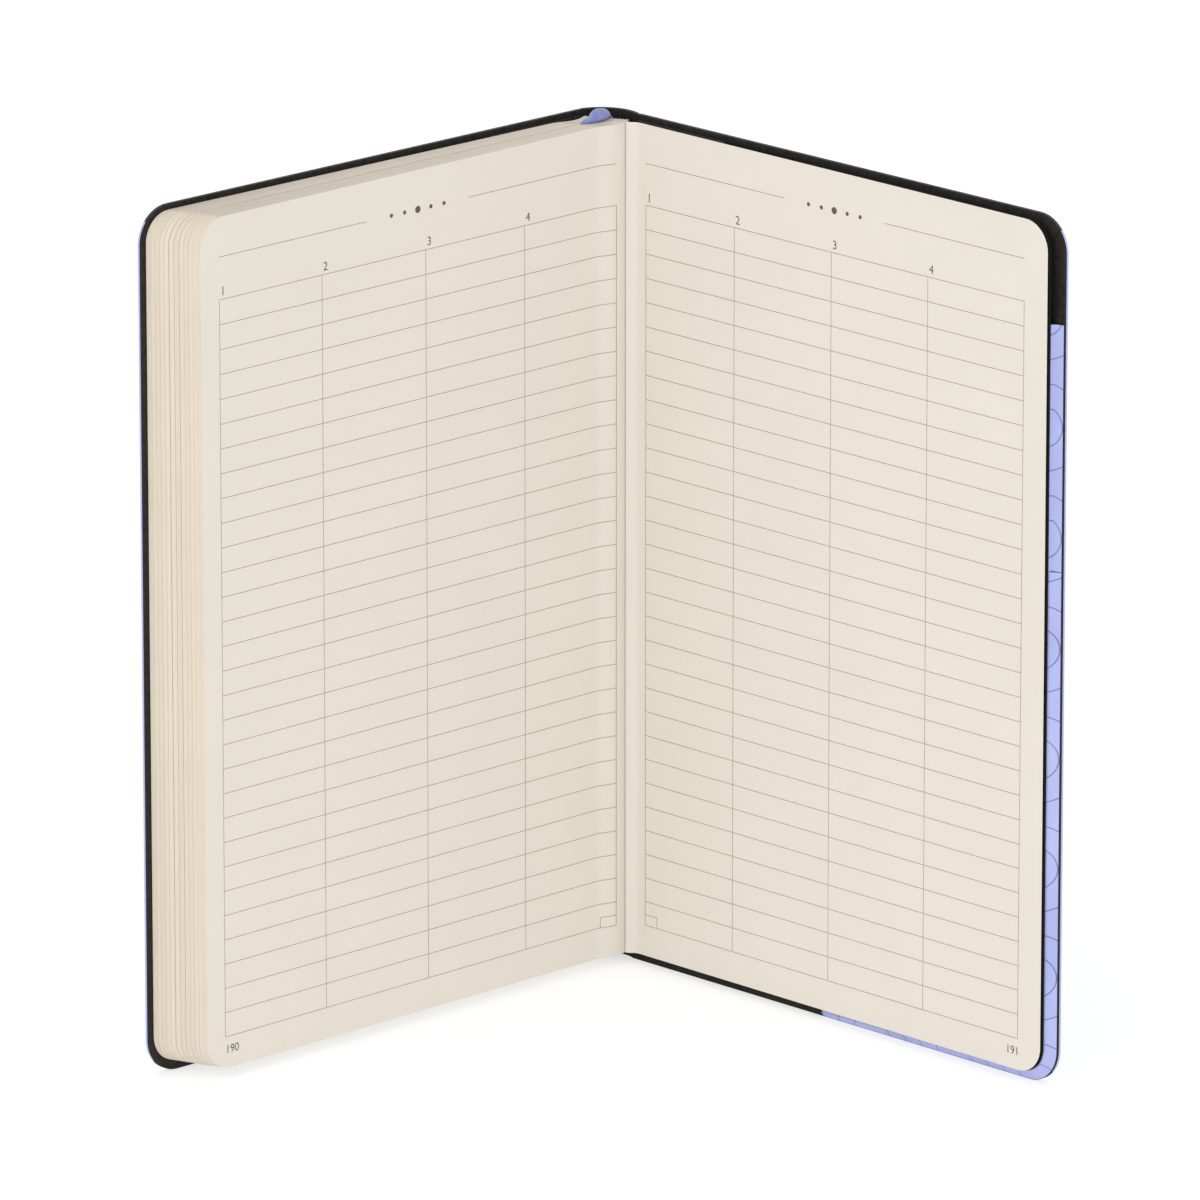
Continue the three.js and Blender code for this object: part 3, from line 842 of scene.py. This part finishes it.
ribbon_bend = bends[RIBBON_AFTER - 1]
bed = SECTION_THICKNESS / 2 + RIBBON_BED
wide_bed = leaf_height(SECTION_THICKNESS / 2, PAGE_WIDTH / 2) + RIBBON_BED
glued = GLUED_PLACE - fold_place(RIBBON_AFTER - 1)
head = page_high + HEAD_GAP


def arch_edge(side, reach, first, second):
    """The four points of one edge's curve: out of the hollow back and down between leaves."""
    across, entry = glued + side * HOLLOW_HALF, ENTRY - side * RIBBON_WIDTH / 2
    return [
        Vector((HOLLOW_EDGE, across, head - ARCH_FOOT)),
        Vector((HOLLOW_EDGE + reach, across, head + first)),
        Vector((entry, bed, head + second)),
        Vector((entry, bed, head)),
    ]


def bezier(corners, t):
    a, b, c, d = corners
    u = 1 - t
    return a * u**3 + b * 3 * u * u * t + c * 3 * u * t * t + d * t**3


def ribbon_steps():
    """Both edges of the ribbon and the way it bulges, for each step along it."""
    near_arch, far_arch = arch_edge(1, *NEAR_HANDLES), arch_edge(-1, *FAR_HANDLES)
    drop = Vector((0, 0, RIBBON_GLUED))
    steps = [(near_arch[0] - drop, far_arch[0] - drop, Vector((-1, 0, 0)))]
    for step in range(ARCH_STEPS + 1):
        t = step / ARCH_STEPS
        out = Vector((-(1 - t) * (1 - t), t * t, ARCH_RISE * t * (1 - t)))
        steps.append((bezier(near_arch, t), bezier(far_arch, t), out))
    start = Vector((ENTRY, bed, head))
    hang = Vector((ENTRY, wide_bed, page_high * HANG))
    tail = Vector((RIBBON_TAIL[0], wide_bed, RIBBON_TAIL[1]))
    for step in range(1, TAIL_STEPS + 1):
        t = step / TAIL_STEPS
        middle = start.lerp(hang, t).lerp(hang.lerp(tail, t), t)
        tangent = (hang - start).lerp(tail - hang, t).normalized()
        half = Vector((tangent.z, 0, -tangent.x)) * RIBBON_WIDTH / 2
        steps.append((middle + half, middle - half, Vector((0, 1, 0))))
    return steps


print("the ribbon has", len(ribbon_steps()), "steps")

# %% [markdown]
# ## The ribbon's cross-section
# A ribbon keeps its width when it bends, so where its edges come together it has to bulge. The
# line across it is therefore an arc of its real width over the chord between its edges. The
# angle of that arc has no plain formula and is found by halving.

# %% The ribbon's cross-section
RIBBON_THICKNESS = 0.2
ACROSS_STEPS = 10
FLATTEST, ROUNDEST = 0.001, 3.0
HALVINGS = 40


def arc_curl(chord):
    """Half the angle of an arc as long as the ribbon is wide, with so short a chord."""
    low, high = FLATTEST, ROUNDEST
    for _ in range(HALVINGS):
        curl = (low + high) / 2
        low, high = (curl, high) if math.sin(curl) / curl > chord / RIBBON_WIDTH else (low, curl)
    return low


def ribbon_ring(near, far, out):
    """Points round one cross-section: along its outer face and back along its inner one."""
    along = (near - far).normalized()
    out = (out - along * out.dot(along)).normalized()
    curl = arc_curl((near - far).length)
    radius = RIBBON_WIDTH / 2 / curl
    outer, inner = [], []
    for step in range(ACROSS_STEPS + 1):
        turn = curl * (2 * step / ACROSS_STEPS - 1)
        bulge = radius * (math.cos(turn) - math.cos(curl))
        line = (near + far) / 2 + along * radius * math.sin(turn) + out * bulge
        normal = along * math.sin(turn) + out * math.cos(turn)
        outer.append(line + normal * RIBBON_THICKNESS / 2)
        inner.append(line - normal * RIBBON_THICKNESS / 2)
    return outer + inner[::-1]


def tube_faces(rings, ring):
    """Faces of a closed tube of so many rings with so many points each."""
    faces = [tuple(range(ring))]
    for step in range(rings - 1):
        for corner in range(ring):
            a, b = step * ring + corner, step * ring + (corner + 1) % ring
            faces.append((a, a + ring, b + ring, b))
    last = (rings - 1) * ring
    faces.append(tuple(range(last + ring - 1, last - 1, -1)))
    return faces


curl = math.degrees(arc_curl(2 * HOLLOW_HALF))
print("at the glue half of its arc spans", round(curl), "degrees")

# %% [markdown]
# ## The ribbon marker
# The cross-sections are joined to a closed tube, and a flat map is laid along it for its
# finish. The ribbon is placed on the bend of the section before it, so that its tail turns with
# the leaves while its glued end stays. Its real length is printed.

# %% Make the ribbon
UV_UNIT = 10
rings = [ribbon_ring(*step) for step in ribbon_steps()]
half_way = ACROSS_STEPS // 2
middles = [ribbon_bend.place(*(ring[half_way] + ring[-1 - half_way]) / 2) for ring in rings]
lengths = [0.0]
for here, there in zip(middles, middles[1:]):
    lengths.append(lengths[-1] + (there - here).length)
ring_size = 2 * (ACROSS_STEPS + 1)
points = [ribbon_bend.place(*point) for ring in rings for point in ring]
ribbon = make_object("ribbon", points, tube_faces(len(rings), ring_size), RIBBON)
flat = ribbon.data.uv_layers.new(name="flat")
for loop in ribbon.data.loops:
    step, corner = divmod(loop.vertex_index, ring_size)
    across = min(corner, ring_size - 1 - corner) / ACROSS_STEPS * RIBBON_WIDTH
    flat.data[loop.index].uv = (lengths[step] / UV_UNIT, across / UV_UNIT)
ribbon_bend.blend(ribbon, f"section_{RIBBON_AFTER:02d}")
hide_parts("ribbon_marker")
print("ribbon in mm:", round(lengths[-1], 1), "long and", RIBBON_WIDTH, "wide")

# %% [markdown]
# ## The edges of the pocket
# The pocket is one sheet of strong paper, folded round at the fore-edge and foot and glued to
# the edge of the back board. Cloth simulation could crumple it, but it is stiff and its folds
# are few, so they are drawn. The same line, along the foot, round the corner and up the
# fore-edge, gives the glued root of a side, its tip at the panel and the panel's outline, each
# with an inset of its own.

# %% The edges of the pocket
COVER_OVERLAP = 0.4
COVER_LENGTH = PAGE_WIDTH + HINGE_LINE + COVER_OVERLAP
COVER_CORNER = 7.5
POCKET_WIDTH = 65
POCKET_EDGE = 0.4
POCKET_DEPTH, POCKET_PINCH = 1.5, 0.5
BOARD_GAP = 0.02
FOOT_STEPS, CORNER_STEPS, EDGE_STEPS, UPPER_STEPS = 24, 12, 24, 12

back_cover = hinge_frame(BACK_HINGE, HINGE_LINE, BACK_COVER_OPEN)
pocket_edge = COVER_LENGTH - POCKET_EDGE
pocket_start = COVER_LENGTH - POCKET_WIDTH
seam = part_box("pocket_creased_side")[0].z / MM
pocket_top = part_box("pocket_creased_side")[1].z / MM
board_face = -HALF_COVER - BOARD_GAP


def panel_face(x):
    """How far from the board's middle the front of the panel lies."""
    lean = (POCKET_DEPTH - POCKET_PINCH) * (x - pocket_start) / (pocket_edge - pocket_start)
    return -HALF_COVER - POCKET_PINCH - lean


def edge_line(inset, foot, top):
    """Along the foot, round the corner and up the fore-edge: (x, z) and the way inwards."""
    corner = COVER_CORNER - inset
    middle_x, middle_z = COVER_LENGTH - COVER_CORNER, COVER_CORNER
    line = []
    for step in range(FOOT_STEPS):
        share = step / FOOT_STEPS
        x = pocket_start + (middle_x - pocket_start) * share
        line.append((x, foot + (inset - foot) * share, 0, 1))
    for step in range(CORNER_STEPS):
        turn = math.pi / 2 * step / CORNER_STEPS
        out_x, out_z = math.sin(turn), -math.cos(turn)
        line.append((middle_x + corner * out_x, middle_z + corner * out_z, -out_x, -out_z))
    for step in range(EDGE_STEPS + 1):
        z = middle_z + (top - middle_z) * step / EDGE_STEPS
        line.append((COVER_LENGTH - inset, z, -1, 0))
    return line


def upright_line(inset, low, high):
    """Straight up the fore-edge, in the same form."""
    heights = [low + (high - low) * step / UPPER_STEPS for step in range(UPPER_STEPS + 1)]
    return [(COVER_LENGTH - inset, z, -1, 0) for z in heights]


print("the pocket is", round(pocket_edge - pocket_start, 1), "mm wide")

# %% [markdown]
# ## The sides of the pocket
# The upper side has a crease down its middle, so that the pocket can shut flat, and the lower
# side is plain and runs round the corner with a few wrinkles. Each side is a closed sheet
# between the board and the panel.

# %% Make the sides of the pocket
POCKET_SHEET = 0.25
PANEL_INSET, PANEL_FOOT = 2.2, 0.8
SIDE_ROOT = 0.1
SEAM_GAP = 0.12
POCKET_CREASE = 0.8
WRINKLE_DEPTH, WRINKLE_HEIGHT, WRINKLE_AREA = 0.16, 6, 60
WRINKLE_WAVES = (1.9, 1.6)
DEPTH_STEPS = 6


def side_ring(root, tip, dent):
    """Points round a side's cross-section, from board to panel outside and back inside."""
    ring = []
    for inner in (0, 1):
        for step in range(DEPTH_STEPS + 1):
            share = (DEPTH_STEPS - step if inner else step) / DEPTH_STEPS
            x, z = (root[axis] + (tip[axis] - root[axis]) * share for axis in (0, 1))
            depth = board_face + (panel_face(tip[0]) - board_face) * share
            inward = dent(x, z, share) + inner * POCKET_SHEET
            ring.append(back_cover @ Vector((x + root[2] * inward, depth, z + root[3] * inward)))
    return ring


def crease(x, z, share):
    return POCKET_CREASE * (1 - abs(2 * share - 1))


def wrinkles(x, z, share):
    near = math.exp(-(((x - pocket_edge) ** 2 + (z - WRINKLE_HEIGHT) ** 2) / WRINKLE_AREA))
    wave = math.sin(WRINKLE_WAVES[0] * (x - pocket_edge) + WRINKLE_WAVES[1] * z)
    return WRINKLE_DEPTH * near * (1 + wave) * math.sin(math.pi * share)


def make_side(name, roots, tips, dent, node):
    rings = [side_ring(root, tip, dent) for root, tip in zip(roots, tips)]
    faces = tube_faces(len(rings), len(rings[0]))
    side = make_object(name, [point for ring in rings for point in ring], faces, POCKET, False)
    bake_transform(side)
    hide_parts(node)


make_side(
    "pocket_upper_side",
    upright_line(SIDE_ROOT, seam, pocket_top),
    upright_line(PANEL_INSET, seam, pocket_top),
    crease,
    "pocket_creased_side",
)
lower_top = seam - SEAM_GAP
make_side(
    "pocket_lower_side",
    edge_line(SIDE_ROOT, SIDE_ROOT, lower_top),
    edge_line(PANEL_INSET, PANEL_FOOT, lower_top),
    wrinkles,
    "pocket_corner_side",
)
print("the upper side reaches from", round(seam, 1), "to", round(pocket_top, 1), "mm")

# %% [markdown]
# ## The panel of the pocket
# The panel is the flat front of the pocket. It is a thin solid whose outline follows the sides
# just inside their tips, then runs from a blunt top down a slanted mouth to a blunt foot. It
# stays flat, so a grid of faces isn't needed, and it rides on the pocket's own body.

# %% Make the panel of the pocket
POCKET_BLUNT = 4.5
PANEL_LOW = 0.4
PANEL_GAP = 0.03

inset = POCKET_SHEET + PANEL_GAP
outer_line = edge_line(PANEL_INSET + inset, PANEL_FOOT + inset, pocket_top)
outline = [place[:2] for place in outer_line]
outline += [(outline[-1][0] - POCKET_BLUNT, pocket_top), (pocket_start, PANEL_LOW + POCKET_BLUNT)]
count = len(outline)
points = [back_cover @ Vector((x, panel_face(x), z)) for x, z in outline]
points += [back_cover @ Vector((x, panel_face(x) + POCKET_SHEET, z)) for x, z in outline]
faces = [tuple(range(count - 1, -1, -1)), tuple(range(count, 2 * count))]
faces += [(i, (i + 1) % count, count + (i + 1) % count, count + i) for i in range(count)]
panel = make_object("pocket_front", points, faces, POCKET, False)
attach(panel, "pocket")
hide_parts("pocket_panel")
print("the panel has", count, "corners and", POCKET_SHEET, "mm of thickness")

# %% [markdown]
# ## The joints of the cover
# The cover's skin and black lining run on from the spine to both boards. In the frame each
# hinge is a gap round the spine's edge. A blended sheet could bridge it, but it would crumple
# when the cover shuts. A thin sleeve about each hinge line fills the gap in every pose,
# lavender outside and black inside, so that the cover looks whole.

# %% Make the sleeves in the joints
SLEEVE_OUTER, SLEEVE_INNER = 0.83, 0.57
SLEEVE_END = 0.15
SLEEVE_TURNS = 14
cover_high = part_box("spine_strip")[1].z / MM


def make_sleeve(name, x, outward, material):
    """Half a tube about a hinge line, on its outer or its inner side."""
    points = []
    for step in range(SLEEVE_TURNS + 1):
        turn = math.pi * step / SLEEVE_TURNS
        across = Vector((math.cos(turn), outward * math.sin(turn), 0))
        for radius, z in (
            (SLEEVE_OUTER, SLEEVE_END),
            (SLEEVE_OUTER, cover_high - SLEEVE_END),
            (SLEEVE_INNER, cover_high - SLEEVE_END),
            (SLEEVE_INNER, SLEEVE_END),
        ):
            points.append(BOOK @ (Vector((x, HINGE_LINE, z)) + across * radius))
    smooth = [True, False, True, False] * SLEEVE_TURNS + [False, False]
    sleeve = make_object(name, points, strip_faces(SLEEVE_TURNS + 1), material, smooth)
    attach(sleeve, "spine")


for side, x in (("front", FRONT_HINGE), ("back", BACK_HINGE)):
    make_sleeve(f"{side}_joint_skin", x, 1, SKIN)
    make_sleeve(f"{side}_joint_lining", x, -1, BOARD)
print("sleeves round", FRONT_HINGE, "and", BACK_HINGE, "mm along the spine")

# %% [markdown]
# ## Pieces kept from the frame
# Boards, skins, endpapers, linings and the sewing have their right shape as packed, so nothing
# is gained by making them anew. They keep it and get their finishes. A bevel eases the edges of
# the boards, skins and spine strip. It needs joined faces, so a weld comes before it.

# %% Dress the kept pieces
WELD_REACH = 0.01
BEVEL_SEGMENTS = 2


def dress(name, material, ease=0.0):
    piece = nodes[name]
    piece.data.materials.clear()
    piece.data.materials.append(material)
    weld = piece.modifiers.new("weld", "WELD")
    weld.merge_threshold = WELD_REACH * MM
    if ease:
        bevel = piece.modifiers.new("eased_edges", "BEVEL")
        bevel.width = ease * MM
        bevel.segments = BEVEL_SEGMENTS
        bevel.limit_method = "ANGLE"
        bevel.angle_limit = CREASE_ANGLE


for side in ("front", "back"):
    dress(f"{side}_board", BOARD, 0.12)
    dress(f"{side}_skin", SKIN, 0.15)
    dress(f"{side}_flyleaf", ENDPAPER)
    dress(f"{side}_joint_cloth", CLOTH)
dress("spine_strip", BOARD, 0.05)
dress("spine_skin", SKIN, 0.05)
dress("spine_lining", CLOTH)
dress("sewing_thread", THREAD)
print("pieces kept from the frame:", sum(not o.hide_render for o in nodes.values()))

# %% [markdown]
# ## The floor
# A plain white floor runs out of sight. A stronger lamp could turn it white, but would wash out
# the book as well. It glows a little instead, which leaves only a faint shadow and lifts the
# foot of the pages. What the camera sees of it is set apart from the light that it throws back.

# %% Make the floor
FLOOR_HALF = 6000
BOUNCED, SHOWN = (0.62, 0.64), (0.42, 0.44)
GLOW, SHOWN_GLOW = 0.4, 0.26


def make_floor():
    finish = Finish("floor", roughness=0.9, specular=0.1)
    seen = finish.add("ShaderNodeLightPath").outputs["Is Camera Ray"]
    grain = finish.noise(3, detail=2)
    bounced, shown = (
        finish.ramp(grain, (0.3, (low, low, low)), (0.7, (high, high, high)))
        for low, high in (BOUNCED, SHOWN)
    )
    finish.colour(finish.mixed(seen, bounced, shown))
    finish.shader.inputs["Emission Color"].default_value = (1, 1, 1, 1)
    glow = finish.math("ADD", finish.math("MULTIPLY", seen, SHOWN_GLOW), GLOW)
    finish.tree.links.new(glow, finish.shader.inputs["Emission Strength"])
    low, high = -FLOOR_HALF, FLOOR_HALF
    corners = [(low, low, 0), (high, low, 0), (high, high, 0), (low, high, 0)]
    floor = make_object("floor", corners, [(0, 1, 2, 3)], finish.material, smooth=False)


make_floor()
print("the floor is", 2 * FLOOR_HALF * MM, "m wide")

# %% [markdown]
# ## Light and background
# The world lights everything evenly and shows white to the camera and to glossy and transmitted
# rays. That alone would look flat, so a broad, soft lamp from the left front gives the spread
# its gentle modelling, and a low one in front lifts the lower half of the pages.

# %% Light and background
WORLD_LIGHT = 0.84


def make_lamp(name, place, width, power):
    light = bpy.data.lights.new(name, "AREA")
    light.size = width
    light.energy = power
    lamp = bpy.data.objects.new(name, light)
    bpy.context.scene.collection.objects.link(lamp)
    lamp.location = place
    lamp.rotation_euler = (TARGET - Vector(place)).to_track_quat("-Z", "Y").to_euler()


def make_world():
    world = bpy.data.worlds.new("studio")
    world.use_nodes = True
    tree = world.node_tree
    light = tree.nodes["Background"]
    light.inputs["Color"].default_value = (1, 1, 1, 1)
    light.inputs["Strength"].default_value = WORLD_LIGHT
    white = tree.nodes.new("ShaderNodeBackground")
    white.inputs["Color"].default_value = (1, 1, 1, 1)
    path = tree.nodes.new("ShaderNodeLightPath")
    seen = path.outputs["Is Camera Ray"]
    for kind in ("Is Glossy Ray", "Is Transmission Ray"):
        either = tree.nodes.new("ShaderNodeMath")
        either.operation = "MAXIMUM"
        tree.links.new(seen, either.inputs[0])
        tree.links.new(path.outputs[kind], either.inputs[1])
        seen = either.outputs[0]
    mix = tree.nodes.new("ShaderNodeMixShader")
    tree.links.new(seen, mix.inputs[0])
    tree.links.new(light.outputs[0], mix.inputs[1])
    tree.links.new(white.outputs[0], mix.inputs[2])
    tree.links.new(mix.outputs[0], tree.nodes["World Output"].inputs["Surface"])
    bpy.context.scene.world = world


make_world()
make_lamp("key", place=(-1.5, -1.5, 1.2), width=1.6, power=6.5)
make_lamp("low_front", place=(0.3, -1.8, 0.12), width=1.2, power=9)
bpy.context.scene.view_settings.view_transform = "Standard"
print("world light", WORLD_LIGHT, "and", len(bpy.data.lights), "lamps")
